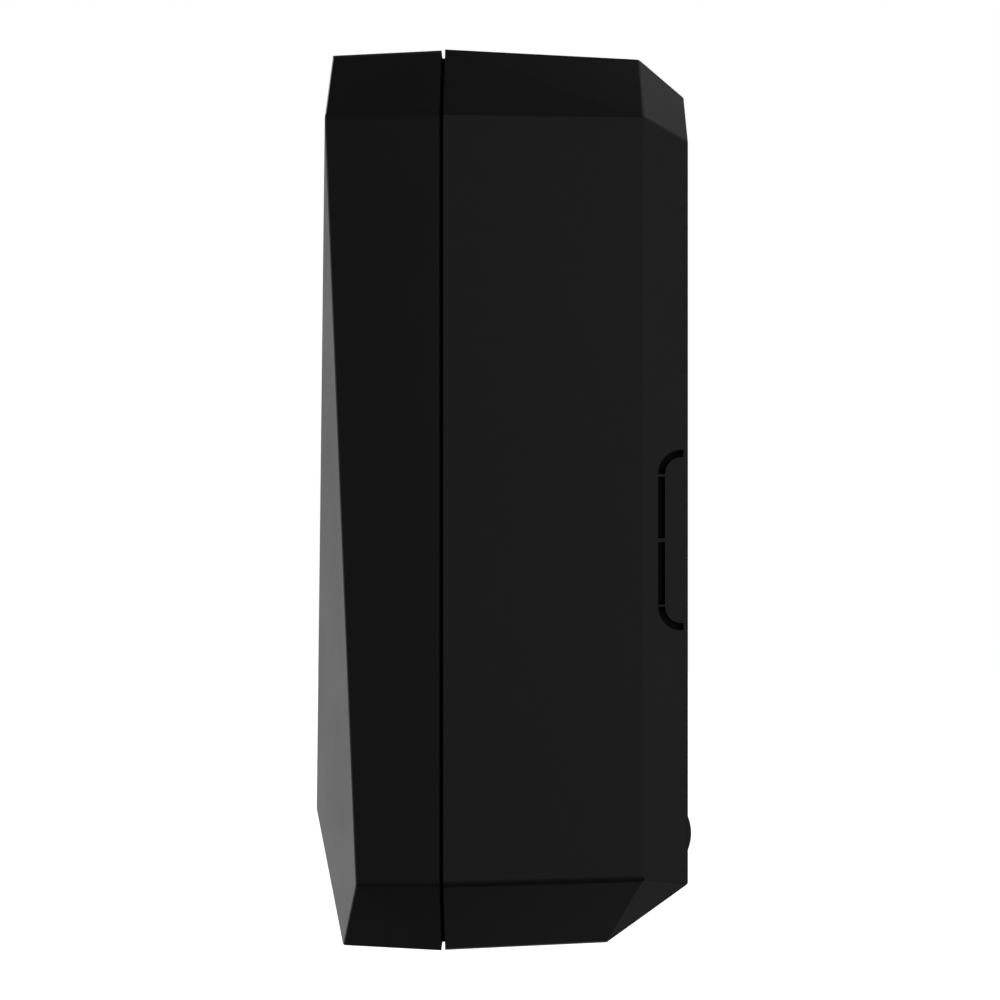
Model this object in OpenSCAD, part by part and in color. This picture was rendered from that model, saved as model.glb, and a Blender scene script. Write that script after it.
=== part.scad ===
// Wall mounted touchless soap dispenser, opened with a coin lock at the top.
// X runs to the right, Y runs into the wall and Z runs up, so the front faces -Y.
// The origin is the middle of the four wall screws, on the wall plane.

/* [Body] */
// Width across the parting groove, the widest place
body_w = 125; // [124:0.5:128]
// Height at the parting groove
body_h = 289; // [288:1:291]
// Size of the 45 degree corner chamfers at the groove
corner = 25; // [24:0.5:25.5]
// Wall thickness of both shells
wall = 2.4; // [2.2:0.1:2.6]
// Distance from the wall plane to the middle of the groove
groove_y = 77.5; // [77:0.5:78]
// Width of the groove between cover and housing
groove_gap = 1.2; // [1:0.1:1.4]
// How far the blade tip stands in front of the wall plane
blade_reach = 121; // [119:0.5:123]

/* [Wall mounting] */
// Sideways distance between wall screws
screw_dx = 64; // [56:1:70]
// Vertical distance between wall screws
screw_dz = 160; // [150:1:170]
// Diameter of each wall screw hole
screw_hole_d = 5; // [4:0.5:6]
// Diameter of the rubber bumpers
bumper_d = 13; // [10:0.5:14]

/* [Cover hinge and lock] */
// Diameter of the steel hinge pins
hinge_pin_d = 4; // [3.5:0.5:4.5]
// Diameter of the coin lock barrel
barrel_d = 9.9; // [9:0.1:9.9]

/* [Pump and refill] */
// Outer diameter of the bottle neck
neck_d = 38; // [36:0.5:38]
// Inner diameter of the pump cylinder
pump_bore_d = 14; // [12:0.5:14]
// Diameter of the nozzle tube
nozzle_d = 12; // [10:0.5:12]

/* [Gears] */
// Play between meshing teeth
backlash = 0.16; // [0.12:0.02:0.24]

/* [Hidden] */

round_fn = 64;
soft_fn = 24;
slop = 0.05;      // radial clearance of every running fit
gear_module = 0.8;   // tooth size of every gear
cut = 0.5;        // how far a cutting solid runs past the face it cuts

half_w = body_w / 2;
half_h = body_h / 2;
chamfer_turn = 0.414;   // a 45 degree corner moves by this share of an inset
rim_front = -groove_y - groove_gap / 2;
rim_rear = -groove_y + groove_gap / 2;

shell_black = [0.075, 0.075, 0.078];
inner_grey = [0.30, 0.31, 0.32];
gear_white = [0.88, 0.87, 0.82];
steel = [0.72, 0.73, 0.75];
brass = [0.80, 0.66, 0.34];
board_green = [0.10, 0.32, 0.18];

// ---------------------------------------------------------------- shells

// Convex solid through a list of corners
module solid_of(points)
    hull() polyhedron(points, [[for (i = [0 : len(points) - 1]) i]]);

// Both left and right copies of each corner
function both_sides(points) = concat(points, [for (p = points) [-p[0], p[1], p[2]]]);

// Corners of the chamfered body section at depth y, inset by i
function section_corners(y, i) = [
    for (s = [-1, 1]) each [
        [half_w - i, y, s * (half_h - corner - chamfer_turn * i)],
        [half_w - corner - chamfer_turn * i, y, s * (half_h - i)]
    ]
];

// The same section as a flat outline in X and Z
module section_outline(i) {
    x1 = half_w - i;
    x0 = half_w - corner - chamfer_turn * i;
    z1 = half_h - i;
    z0 = half_h - corner - chamfer_turn * i;
    polygon([[x1, -z0], [x1, z0], [x0, z1], [-x0, z1], [-x1, z0], [-x1, -z0], [-x0, -z1], [x0, -z1]]);
}

// Straight prism of that section from y0 back to y1
module section_prism(i, y0, y1)
    translate([0, y1, 0]) rotate([90, 0, 0]) linear_extrude(y1 - y0) section_outline(i);

// Cover body inset by i: rim, shoulder and chin corners, and the blade tip
module cover_form(i, rim_y = rim_front) {
    shoulder = [half_w - 2 - i, -blade_reach + 7.2 + 0.9 * i, half_h - 25.4 - 0.5 * i];
    brow = [half_w - 26 - 0.5 * i, -blade_reach + 8.1 + i, half_h - 1.5 - i];
    hip = [half_w - 1.8 - i, -blade_reach + 16.9 + 0.77 * i, -half_h + 24.7 + 0.5 * i];
    chin = [half_w - 26 - 0.5 * i, -blade_reach + 11.35 + 0.9 * i, -half_h + 1.5 + i];
    tip = [0, -blade_reach + 1.1 * i, -half_h + 40.6 + 0.4 * i];
    solid_of(concat([tip], both_sides(concat(section_corners(rim_y, i), [shoulder, brow, hip, chin]))));
}

// Housing body inset by i: rim, the rear edges of the sides and the wall face
module housing_form(i, rim_y = rim_rear) {
    side_top = [half_w - 3 - i, -14.5 - 0.3 * i, half_h - 25.25 - chamfer_turn * i];
    side_low = [half_w - 3 - i, -14.5 - 0.3 * i, -half_h + 26.3 + chamfer_turn * i];
    roof_back = [half_w - 27 - chamfer_turn * i, -14.65 - 0.35 * i, half_h - 2.9 - i];
    floor_back = [half_w - 26.2 - chamfer_turn * i, -25.3 - 0.37 * i, -half_h + 2.2 + i];
    pad_top = [half_w - 30.1 - 0.5 * i, -i, half_h - 14.7 - 0.48 * i];
    pad_side = [half_w - 12.5 - 0.54 * i, -i, half_h - 31.6 - 0.4 * i];
    pad_low = [half_w - 12.5 - 0.54 * i, -i, -half_h + 23.4 + 0.47 * i];
    solid_of(both_sides(concat(section_corners(rim_y, i),
        [side_top, side_low, roof_back, floor_back, pad_top, pad_side, pad_low])));
}

// Box by its two opposite corners
module block(a, b) translate(a) cube(b - a);

// Round bar along Y from y0 back to y1
module bar_y(d, x, z, y0, y1, fn = round_fn)
    translate([x, y1, z]) rotate([90, 0, 0]) cylinder(d = d, h = y1 - y0, $fn = fn);

// Round bar along X from x0 to x1
module bar_x(d, y, z, x0, x1)
    translate([x0, y, z]) rotate([0, 90, 0]) cylinder(d = d, h = x1 - x0, $fn = round_fn);

// Round bar along Z from z0 to z1
module bar_z(d, x, y, z0, z1)
    translate([x, y, z0]) cylinder(d = d, h = z1 - z0, $fn = round_fn);

// A left and a right copy
module pair() {
    children();
    mirror([1, 0, 0]) children();
}

// ---------------------------------------------------------------- places

// Cover hinge
hinge_y = -65;
hinge_z = -139;
arm_x = 30;
arm_w = 6;
slot_side = 0.3;
ear_w = 3.1;
ear_z = -134.5;
pin_reach = arm_w / 2 + slot_side + ear_w;

// Groove lip on the housing
lip_gap = 0.3;
lip_t = 1.5;
lip_reach = 3.1;

// Coin lock
lock_y = -70;
lock_boss_z = 129;
cam_z = 126;
cam_t = 2.8;

// Battery box and its door
box_x = 30;
box_back = -9;
box_front = -42.2;
box_z = 92;
box_top = 125;
box_wall = 2;
cell_d = 14.4;
cell_l = 50.5;
cell_pitch = 14.5;
cell_y = -18.4;
cell_z = 101.25;
door_pin_y = -43.4;
door_pin_z = 93.2;
door_pin_d = 2.4;
box_ear_x = 35;
box_ear_z = 108.5;

// Drive chassis
plate_y = -31.5;
plate_t = 2.5;
web_x = 46.5;
web_front = -46.6;
shelf_z = -62;
shelf_t = 4;
foot_z = -126;
foot_t = 3;
chassis_post_x = 40;
chassis_post_z = [-52, -118];
shelf_front = -92;
foot_front = -78;

// Pump, all on one upright axis
pump_y = -65;
collar_z = -58;
cylinder_z = -80;
flange_z = -99;
flange_d = 26;
nozzle_tip_z = -139;
stem_d = 8;
piston_z = -62;
soap_bore_d = 3.4;
rod_x = 22;
rod_y = -58;
rod_d = 4;
yoke_z = -102.5;
yoke_t = 3.5;

// Gear train
small_teeth = 10;
big_teeth = 36;
mid_teeth = 12;
rack_teeth_on_gear = 14;
pressure = 25;
addendum = 0.85 * gear_module;
dedendum = 1.1 * gear_module;
function pitch_r(teeth) = teeth * gear_module / 2;
output_x = -8;
output_z = -84;
compound_x = output_x - pitch_r(big_teeth) - pitch_r(mid_teeth);
compound_z = output_z;
motor_x = compound_x;
motor_z = compound_z - pitch_r(big_teeth) - pitch_r(small_teeth);
rack_x = output_x + pitch_r(rack_teeth_on_gear);
axle_d = 3;
gear_cover_y = -49;
gear_cover_t = 2;
standoffs = [[-43, -67.5], [-42, -108.5], [0, -108.5]];

// Circuit board
board_front = -37.1;
board_back = -35.5;
board_x0 = 11;
board_x1 = 43;
board_z0 = -113;
board_z1 = -68;
board_holes = [[14, -110], [40, -110], [14, -71], [40, -71]];
switch_x = 33;
switch_z = -76;
dose_x = 20;
dose_z = -78;

// Downward sensor
sensor_y = -40;
sensor_board_z = -129.6;
led_x = 8;

// Shell features
bumper_x = 42;
bumper_z = -106;
bumper_proud = 1.6;
window_z = 0;
window_h = 60;
window_w = 9;
shield_lean = 1.84;

// Refill bottle and its latch
latch_x = -31;
latch_y = -74;
bottle_x = 46;
bottle_front = -100;
bottle_back = -32;
bottle_top = 88;
bottle_low = -4;
neck_z = -26;
neck_end = -52;
bottle_wall = 1.4;

// ---------------------------------------------------------------- housing

// Lip all round the rim, which reaches into the cover and floors the groove
module groove_lip() {
    inner = wall + lip_gap + lip_t;
    difference() {
        union() {
            section_prism(wall + lip_gap, rim_rear - lip_reach, rim_rear + 1);
            section_prism(wall / 2, rim_rear, rim_rear + 5);
        }
        section_prism(inner, rim_rear - lip_reach - cut, rim_rear + 5 + cut);
    }
}

// Two ears that hold one hinge pin, with the slot for the cover arm between them
module hinge_ears() {
    for (x = [arm_x - arm_w / 2 - slot_side - ear_w, arm_x + arm_w / 2 + slot_side]) {
        bar_x(10, hinge_y, hinge_z, x, x + ear_w);
        block([x, hinge_y - 5, -half_h + 1.8], [x + ear_w, hinge_y + 5, hinge_z]);
    }
}

module arm_slot() {
    half = arm_w / 2 + slot_side;
    block([arm_x - half, rim_rear - lip_reach - cut, -half_h - 5], [arm_x + half, hinge_y + 5.4, ear_z + 1]);
}

// Break-out for a supply cable, outlined by blind slots with short bridges between them
module knock_out_slots() {
    slot_depth = 1.7;
    slot = 2.3;
    front = -9.9;
    back = -1.5;
    top = 15.8;
    low = -41;
    turn = 7.7;
    x0 = half_w - 15;
    depth = 16;
    side_rear = [half_w - 3, -14.5];
    wall_edge = [half_w - 12.5, 0];
    along = (wall_edge - side_rear) / norm(wall_edge - side_rear);
    out = [along[1], -along[0]];
    a = side_rear - 3 * along;
    b = wall_edge + 3 * along;
    // Only the outer layer of the slanted face is cut, so a thin skin stays behind the slots
    intersection() {
        translate([0, 0, low - 1]) linear_extrude(top - low + 2)
            polygon([a - slot_depth * out, b - slot_depth * out, b + 4 * out, a + 4 * out]);
        // Outline in Y and Z, cut along X
        translate([x0, 0, 0]) rotate([90, 0, 90]) linear_extrude(depth) {
            for (run = [[-12, 7.3], [-32.8, -13.2]])
                translate([front, run[0]]) square([slot, run[1] - run[0]]);
            for (end = [[top, 1], [low, -1]])
                translate([front + turn, end[0] - end[1] * turn]) {
                    intersection() {
                        difference() {
                            circle(r = turn, $fn = round_fn);
                            circle(r = turn - slot, $fn = round_fn);
                        }
                        translate([-turn, end[1] > 0 ? 0 : -turn]) square(turn);
                    }
                    translate([0, end[1] > 0 ? turn - slot : -turn]) square([back - front - turn, slot]);
                }
        }
    }
}

// Post on the rear wall with a pilot hole for a screw
module post(x, z, front) bar_y(8, x, z, front, -wall / 2);

module back_housing() color(shell_black) difference() {
    union() {
        difference() {
            housing_form(0);
            housing_form(wall, rim_rear - 1);
        }
        groove_lip();
        pair() hinge_ears();
        bar_z(13, 0, lock_y, lock_boss_z, half_h - 1.2);
        for (sx = [-1, 1]) {
            for (sz = [-1, 1]) bar_y(14, sx * screw_dx / 2, sz * screw_dz / 2, -7, -wall / 2);
            for (z = chassis_post_z) post(sx * chassis_post_x, z, plate_y + plate_t);
            post(sx * box_ear_x, box_ear_z, -20);
            // Upright stiffening ribs behind the refill
            block([sx * 16 - 0.8, -6, -40], [sx * 16 + 0.8, -wall / 2, 84]);
        }
        for (z = [-40, 22, 84]) block([-47, -6, z - 0.8], [47, -wall / 2, z + 0.8]);
        // Cradle of the supply socket
        for (z = [-21, -7.4]) block([33, -9, z], [43, -wall / 2, z + 1.6]);
    }
    pair() {
        arm_slot();
        bar_x(hinge_pin_d, hinge_y, hinge_z, arm_x - 8, arm_x + 8);
        knock_out_slots();
        bar_y(6, bumper_x, bumper_z, -wall - cut, cut);
        for (sz = [-1, 1]) bar_y(screw_hole_d, screw_dx / 2, sz * screw_dz / 2, -7 - cut, cut);
        for (z = chassis_post_z) bar_y(2.6, chassis_post_x, z, plate_y, -8);
        bar_y(2.6, box_ear_x, box_ear_z, -21, -6);
    }
    bar_z(barrel_d + 2 * slop, 0, lock_y, lock_boss_z - cut, half_h + cut);
    bar_z(nozzle_d + 6, 0, pump_y, -half_h - cut, -half_h + 5);
    block([-13, sensor_y - 5, -half_h - cut], [13, sensor_y + 5, -half_h + 6]);
}

// Rubber domes that steady the lower end against the wall
module wall_bumpers() color("dimgray") pair() {
    radius = (bumper_d * bumper_d / 4 + bumper_proud * bumper_proud) / (2 * bumper_proud);
    intersection() {
        translate([bumper_x, bumper_proud - radius, bumper_z]) sphere(r = radius, $fn = 96);
        bar_y(bumper_d, bumper_x, bumper_z, 0, bumper_proud + cut);
    }
    bar_y(6, bumper_x, bumper_z, -wall - 1.5, 0);
    bar_y(8.5, bumper_x, bumper_z, -wall - 1.5, -wall);
}

module hinge_pins() color(steel) pair()
    bar_x(hinge_pin_d, hinge_y, hinge_z, arm_x - pin_reach, arm_x + pin_reach);

// ---------------------------------------------------------------- cover

// Arm from the cover's floor back to its hinge pin
module hinge_arm() {
    x0 = arm_x - arm_w / 2;
    bar_x(9, hinge_y, hinge_z, x0, x0 + arm_w);
    block([x0, -96, -half_h + 2], [x0 + arm_w, hinge_y, hinge_z + 3]);
}

// Shallow ribs that follow the inside of the cover
module cover_ribs() intersection() {
    difference() {
        cover_form(wall / 2);
        cover_form(5.6, rim_front + 1);
    }
    union() {
        for (x = [-22, 22]) block([x - 0.8, -blade_reach, -half_h], [x + 0.8, -84, half_h]);
        for (z = [-60, 66]) block([-half_w, -blade_reach, z - 0.8], [half_w, -84, z + 0.8]);
    }
}

// Moves to the middle of the level window, on the leaning shield face
module at_window() {
    shield_y = -blade_reach + (window_z + half_h - 40.6) * tan(shield_lean);
    translate([0, shield_y, window_z]) rotate([-shield_lean, 0, 0]) children();
}

// Upright slot shape with round ends, from y0 back to y1
module slot_bar(w, h, y0, y1) {
    straight = (h - w) / 2;
    block([-w / 2, y0, -straight], [w / 2, y1, straight]);
    for (z = [-straight, straight]) bar_y(w, 0, z, y0, y1);
}

module front_cover() color(shell_black) difference() {
    union() {
        difference() {
            cover_form(0);
            cover_form(wall, rim_front + 1);
        }
        cover_ribs();
        pair() hinge_arm();
        for (y = [-96, -88]) bar_z(6, -16, y, 139.5, half_h - 1.6);
    }
    pair() bar_x(hinge_pin_d + 2 * slop, hinge_y, hinge_z, arm_x - 5, arm_x + 5);
    at_window() slot_bar(window_w, window_h, -2, wall + 1);
    for (y = [-96, -88]) bar_z(2.2, -16, y, 139, 142.4);
}

// Smoked strip through which the soap level shows
module level_window() color([0.12, 0.12, 0.13]) at_window() {
    slot_bar(window_w - 0.2, window_h - 0.2, 0.3, wall + 0.1);
    slot_bar(window_w + 4, window_h + 4, wall + 0.1, wall + 1.3);
}

// Hook behind which the lock cam turns
module lock_catch() color(inner_grey) difference() {
    union() {
        block([-20, -100, 137.5], [-12, -84, 139.5]);
        block([-20, -86, 122.5], [-12, -84, 137.5]);
        block([-20, -86, 122.5], [-12, -63, 125]);
        block([-20, -65.5, 125], [-12, -63, 132]);
    }
    for (y = [-96, -88]) bar_z(2.4, -16, y, 137, 140);
}

module catch_screws() color(steel)
    for (y = [-96, -88]) translate([-16, y, 137.5]) rotate([90, 0, 0]) screw(2.2, 4, 1.2, 4.9);

// Screw with its head's seat at the origin and its shank running along +Y
module screw(shank, head, head_h, length) difference() {
    union() {
        bar_y(shank, 0, 0, 0, length, 32);
        bar_y(head, 0, 0, -head_h, 0, 32);
    }
    // Cross recess
    for (turn = [0, 90]) rotate([0, turn, 0])
        block([-head * 0.3, -head_h - cut, -head * 0.07], [head * 0.3, -head_h * 0.45, head * 0.07]);
}

module lock_barrel() color(steel) difference() {
    bar_z(barrel_d, 0, lock_y, cam_z + cam_t, half_h - 0.9);
    // Coin slot
    block([-4, lock_y - 0.6, half_h - 2.4], [4, lock_y + 0.6, half_h]);
}

module lock_cam() color(brass) difference() {
    union() {
        bar_z(11, 0, lock_y, cam_z, cam_z + cam_t);
        block([-3, lock_y - 17, cam_z], [3, lock_y, cam_z + cam_t]);
    }
    // Seat of the hidden rivet
    bar_z(3, 0, lock_y, cam_z - cut, cam_z + 1);
}

// ---------------------------------------------------------------- batteries

module battery_box() color(inner_grey) difference() {
    union() {
        block([-box_x, box_front, box_z], [box_x, box_back, box_top]);
        pair() {
            block([box_x - 1, -22.5, box_ear_z - 5], [box_ear_x + 4.5, -20, box_ear_z + 5]);
            block([box_x - 0.1, box_front - 3, box_z - 0.6], [box_x + 2.6, box_front + cut, box_z + 3.4]);
        }
    }
    block([-box_x + box_wall, box_front - cut, box_z + box_wall],
        [box_x - box_wall, box_back - box_wall, box_top - box_wall]);
    pair() {
        bar_y(3.2, box_ear_x, box_ear_z, -23, -19);
        bar_x(door_pin_d + 2 * slop, door_pin_y, door_pin_z, box_x - 1, box_x + 3);
    }
}

// One AA cell along X, its raised end to the right or to the left
module cell(column, row) {
    y = cell_y - column * cell_pitch;
    z = cell_z + row * cell_pitch;
    side = (column + row) % 2 == 0 ? 1 : -1;
    color("goldenrod") translate([0, y, z]) rotate([0, 90, 0]) {
        cylinder(d = cell_d, h = cell_l, center = true, $fn = round_fn);
        translate([0, 0, side > 0 ? cell_l / 2 - cut : -cell_l / 2 - 1])
            cylinder(d = 5.5, h = 1 + cut, $fn = 32);
    }
}
module battery_1() cell(0, 0);
module battery_2() cell(0, 1);
module battery_3() cell(1, 0);
module battery_4() cell(1, 1);

// A plate with a bump at each raised end and a coiled spring at each flat end
module battery_contacts() color(steel)
    for (column = [0, 1], row = [0, 1]) {
        side = (column + row) % 2 == 0 ? 1 : -1;
        inner = box_x - box_wall;
        at = [0, cell_y - column * cell_pitch, cell_z + row * cell_pitch];
        translate(at) rotate([0, 0, side > 0 ? 0 : 180]) {
            block([inner - 0.4, -4.5, -5], [inner, 4.5, 5]);
            block([inner - 1.7, -2, -2], [inner - 0.3, 2, 2]);
            block([-inner, -4.5, -5], [-inner + 0.4, 4.5, 5]);
            for (k = [0 : 2]) translate([-inner + 0.75 + 0.7 * k, 0, 0]) rotate([0, 90, 0])
                rotate_extrude($fn = 32) translate([4.2 - 0.7 * k, 0]) circle(d = 0.8, $fn = 16);
            // Leg that joins the smallest turns to the plate
            block([-inner + 0.3, 2.4, -0.3], [-inner + 2.2, 3.4, 0.3]);
        }
    }

module battery_door() color(inner_grey) {
    half = box_x - 0.5;
    block([-half, door_pin_y - 1, door_pin_z], [half, door_pin_y + 1, box_top - 0.5]);
    bar_x(door_pin_d, door_pin_y, door_pin_z, -box_x - 2.4, box_x + 2.4);
    // Finger tab and two stiffening ribs
    block([-8, door_pin_y - 3, box_top - 6], [8, door_pin_y - 0.9, box_top - 4.5]);
    for (x = [-20, 20])
        block([x - 0.6, door_pin_y - 1.8, door_pin_z + 4], [x + 0.6, door_pin_y - 0.9, box_top - 4]);
}

module battery_box_screws() color(steel) pair()
    translate([box_ear_x, -22.5, box_ear_z]) screw(2.6, 6, 2, 12);

// Round rod between two points
module rod_between(a, b, d) {
    v = b - a;
    translate(a) rotate([0, acos(v[2] / norm(v)), atan2(v[1], v[0])])
        cylinder(d = d, h = norm(v), $fn = round_fn);
}

// Wires from the battery box and the socket down to the circuit board
module power_harness() color([0.1, 0.1, 0.1]) {
    main_run = [[box_x, -20, 97], [49, -20, 97], [49, -20, -88], [49, -42, -90], [42, -42, -90]];
    socket_run = [[40, -11.5, -19], [40, -11.5, -30], [49, -20, -42]];
    for (run = [main_run, socket_run]) {
        for (k = [1 : len(run) - 1]) rod_between(run[k - 1], run[k], 3);
        for (k = [1 : len(run) - 2]) translate(run[k]) sphere(d = 3.4, $fn = round_fn);
    }
    // Plug on the board
    block([37, -44, -93], [42.4, -37.1, -87]);
}

module supply_socket() color([0.1, 0.1, 0.11]) difference() {
    block([30, -14, -19], [44, -wall, -8]);
    bar_x(5.5, -8, -13.5, 34, 45);
}

// ---------------------------------------------------------------- drive

// Rounded fork outline of a shelf, open to the front around the pump axis
module shelf(z, thick, front, slot) difference() {
    translate([0, 0, z]) linear_extrude(thick)
        polygon([[-web_x, plate_y], [web_x, plate_y], [web_x, -52], [38, -60], [38, front + 4],
            [34, front], [-34, front], [-38, front + 4], [-38, -60], [-web_x, -52]]);
    bar_z(slot, 0, pump_y, z - cut, z + thick + cut);
    block([-slot / 2, front - cut, z - cut], [slot / 2, pump_y, z + thick + cut]);
}

// Hole right through the chassis plate
module plate_hole(d, x, z) bar_y(d, x, z, plate_y - cut, plate_y + plate_t + cut);

module drive_chassis() color(inner_grey) difference() {
    union() {
        block([-web_x, plate_y, foot_z], [web_x, plate_y + plate_t, -48]);
        pair() block([web_x - 2, web_front, foot_z], [web_x, plate_y, shelf_z + shelf_t]);
        shelf(shelf_z, shelf_t, shelf_front, 23);
        shelf(foot_z, foot_t, foot_front, nozzle_d + 2);
        // Side stops for the refill collar
        pair() block([23.4, -70, collar_z - 0.2], [25.6, -50, collar_z + 6]);
        for (s = standoffs) bar_y(5, s[0], s[1], gear_cover_y + gear_cover_t, plate_y);
        for (h = board_holes) bar_y(5, h[0], h[1], board_back, plate_y);
        pair() bar_z(5, 12, sensor_y, sensor_board_z + 1.6, foot_z);
        // Gussets under the upper shelf, outside the gears
        pair() block([30, web_front, shelf_z - 5], [32, plate_y, shelf_z]);
    }
    pair() bar_z(rod_d, rod_x, rod_y, foot_z - cut, shelf_z + shelf_t + cut);
    for (sx = [-1, 1], z = chassis_post_z) plate_hole(3.2, sx * chassis_post_x, z);
    plate_hole(8, motor_x, motor_z);
    for (dx = [-8.5, 8.5]) plate_hole(2.2, motor_x + dx, motor_z);
    plate_hole(axle_d, output_x, output_z);
    plate_hole(axle_d, compound_x, compound_z);
    for (s = standoffs) bar_y(1.6, s[0], s[1], gear_cover_y, -38);
    for (h = board_holes) bar_y(1.6, h[0], h[1], board_back - cut, plate_y + 1);
    bar_z(4, latch_x, latch_y, shelf_z - cut, shelf_z + shelf_t + cut);
    // Hole for the harness in the right web
    translate([web_x - 3, -42, -90]) rotate([0, 90, 0]) cylinder(d = 6, h = 4, $fn = 32);
}

module chassis_screws() color(steel)
    for (sx = [-1, 1], z = chassis_post_z)
        translate([sx * chassis_post_x, plate_y, z]) screw(2.6, 6, 2.2, 15);

module motor() color(steel) {
    difference() {
        union() {
            bar_y(24, motor_x, motor_z, plate_y + plate_t, -5);
            bar_y(7, motor_x, motor_z, plate_y + 0.3, plate_y + plate_t);
            bar_y(8, motor_x, motor_z, -5, -3.6);
            for (x = [motor_x - 7, motor_x + 7])
                block([x - 1.2, -5, motor_z - 0.4], [x + 1.2, -3.2, motor_z + 0.4]);
        }
        bar_y(2 + 2 * slop, motor_x, motor_z, plate_y, -12);
        for (dx = [-8.5, 8.5]) bar_y(1.6, motor_x + dx, motor_z, plate_y, -22);
    }
}

module motor_screws() color(steel)
    for (dx = [-8.5, 8.5]) translate([motor_x + dx, plate_y, motor_z]) screw(1.6, 3.4, 1.1, 6);

module motor_shaft() color(steel) bar_y(2, motor_x, motor_z, -37.4, -13);

// Flank angle swept from the base circle out to radius r
function flank(r, base) =
    r <= base ? 0 : tan(acos(base / r)) * 180 / PI - acos(base / r);

// Half the angle that a tooth covers at radius r
function tooth_half(teeth, r) =
    90 / teeth - backlash / 4 / pitch_r(teeth) * 180 / PI
    + flank(pitch_r(teeth), pitch_r(teeth) * cos(pressure)) - flank(r, pitch_r(teeth) * cos(pressure));

// Gear with involute teeth and a tooth centred at the given angle, from y0 back to y1
module gear(teeth, x, z, y0, y1, phase = 0) {
    base = pitch_r(teeth) * cos(pressure);
    root = pitch_r(teeth) - dedendum;
    tip = pitch_r(teeth) + addendum;
    radii = [root, max(root, base) + 0.02, pitch_r(teeth), (pitch_r(teeth) + tip) / 2, tip];
    flank_points = [for (r = radii) [r, tooth_half(teeth, r)]];
    points = [for (k = [0 : teeth - 1]) let (a = phase + 360 / teeth * k) each concat(
        [for (f = flank_points) f[0] * unit(a - f[1])],
        [for (j = [len(radii) - 1 : -1 : 0]) flank_points[j][0] * unit(a + flank_points[j][1])])];
    translate([x, y1, z]) rotate([90, 0, 0]) linear_extrude(y1 - y0) polygon(points);
}
function unit(angle) = [cos(angle), sin(angle)];

module motor_pinion() color(gear_white) difference() {
    gear(small_teeth, motor_x, motor_z, -36.8, -32.8);
    bar_y(2, motor_x, motor_z, -38, -31);
}

module compound_gear() color(gear_white) difference() {
    union() {
        gear(big_teeth, compound_x, compound_z, -36.3, -33);
        gear(mid_teeth, compound_x, compound_z, -40.5, -36.3, 180 / mid_teeth);
        bar_y(7, compound_x, compound_z, -46.8, -40.5);
        bar_y(7, compound_x, compound_z, -33, plate_y - 0.2);
    }
    bar_y(axle_d + 2 * slop, compound_x, compound_z, -47, -31);
}

module output_gear() color(gear_white) difference() {
    union() {
        gear(big_teeth, output_x, output_z, -40.5, -37);
        gear(rack_teeth_on_gear, output_x, output_z, -46.5, -40.5);
        bar_y(7, output_x, output_z, -46.8, -46.5);
        bar_y(7, output_x, output_z, -37, plate_y - 0.2);
    }
    bar_y(axle_d + 2 * slop, output_x, output_z, -47, -31);
}

module gear_axles() color(steel)
    for (p = [[output_x, output_z], [compound_x, compound_z]])
        bar_y(axle_d, p[0], p[1], gear_cover_y, plate_y + plate_t);

module gearbox_cover() color(inner_grey) difference() {
    translate([0, gear_cover_y + gear_cover_t, 0]) rotate([90, 0, 0]) linear_extrude(gear_cover_t)
        polygon([[-46, -112], [4, -112], [4, -104.6], [-4, -104.6], [-4, -65], [-43.5, -65], [-46, -67.5]]);
    for (p = [[output_x, output_z], [compound_x, compound_z]])
        bar_y(axle_d, p[0], p[1], gear_cover_y - cut, gear_cover_y + gear_cover_t + cut);
    for (s = standoffs) bar_y(1.8, s[0], s[1], gear_cover_y - cut, gear_cover_y + gear_cover_t + cut);
}

module gearbox_screws() color(steel)
    for (s = standoffs) translate([s[0], gear_cover_y, s[1]]) screw(1.6, 4, 1.3, 8);

module guide_rods() color(steel) pair()
    bar_z(rod_d, rod_x, rod_y, foot_z, shelf_z + shelf_t);

// Straight rack teeth facing -X, with a gap level with the output gear at rest
module rack() {
    pitch = PI * gear_module;
    half = pitch / 4 - backlash / 4;
    tip_half = half - addendum * tan(pressure);
    root_half = half + dedendum * tan(pressure);
    teeth = [for (k = [-6 : 2]) output_z + (k + 0.5) * pitch];
    points = concat([[5, yoke_z]], [[5, -72]], [[rack_x + dedendum, -72]],
        [for (j = [len(teeth) - 1 : -1 : 0]) each [
            [rack_x + dedendum, teeth[j] + root_half], [rack_x - addendum, teeth[j] + tip_half],
            [rack_x - addendum, teeth[j] - tip_half], [rack_x + dedendum, teeth[j] - root_half]]],
        [[rack_x + dedendum, yoke_z]]);
    translate([0, -41.5, 0]) rotate([90, 0, 0]) linear_extrude(5) polygon(points);
}

// Fork that lifts the nozzle flange, riding on the guide rods
module lift_yoke() color(gear_white) difference() {
    union() {
        block([-27, -74, yoke_z], [27, -53, yoke_z + yoke_t]);
        pair() bar_z(9, rod_x, rod_y, yoke_z - 2, yoke_z + 7);
        // Edge ribs under the fork
        pair() block([25, -74, yoke_z - 2], [27, -62, yoke_z]);
        block([rack_x + dedendum, -54, yoke_z], [5, -41.5, yoke_z + yoke_t]);
        rack();
    }
    pair() bar_z(rod_d + 2 * slop, rod_x, rod_y, yoke_z - 3, yoke_z + 8);
    bar_z(nozzle_d + 0.6, 0, pump_y, yoke_z - cut, yoke_z + yoke_t + cut);
    block([-nozzle_d / 2 - 0.3, -75, yoke_z - cut], [nozzle_d / 2 + 0.3, pump_y, yoke_z + yoke_t + cut]);
}

// ---------------------------------------------------------------- refill

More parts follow.
